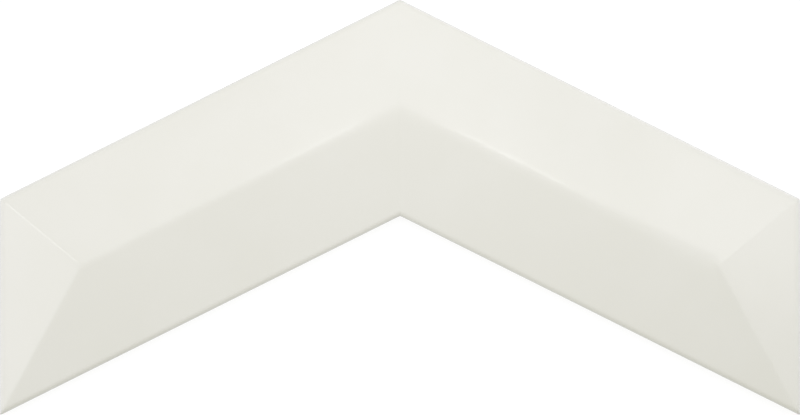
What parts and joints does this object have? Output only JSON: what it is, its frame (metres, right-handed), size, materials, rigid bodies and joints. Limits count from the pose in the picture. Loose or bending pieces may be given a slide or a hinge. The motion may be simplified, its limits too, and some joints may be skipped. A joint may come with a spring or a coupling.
{
  "type": "chevron wall tile",
  "caption": "V-shaped glazed ceramic wall tile with a bevelled, ridged ivory face, hipped ends and a grooved back for adhesive.",
  "frame": {"origin": "middle of the tile's box, on its back face", "axes": "+X across the tile from tip to tip, +Y towards the apex of the chevron, +Z out of the glazed face"},
  "size_m": [0.248, 0.1282, 0.012],
  "materials": {
    "ivory_glaze": "satin ivory glaze on the face, bare fired body on the sides and back"
  },
  "bodies": {
    "root": {"chevron_tile": "ivory_glaze"}
  },
  "joints": []
}
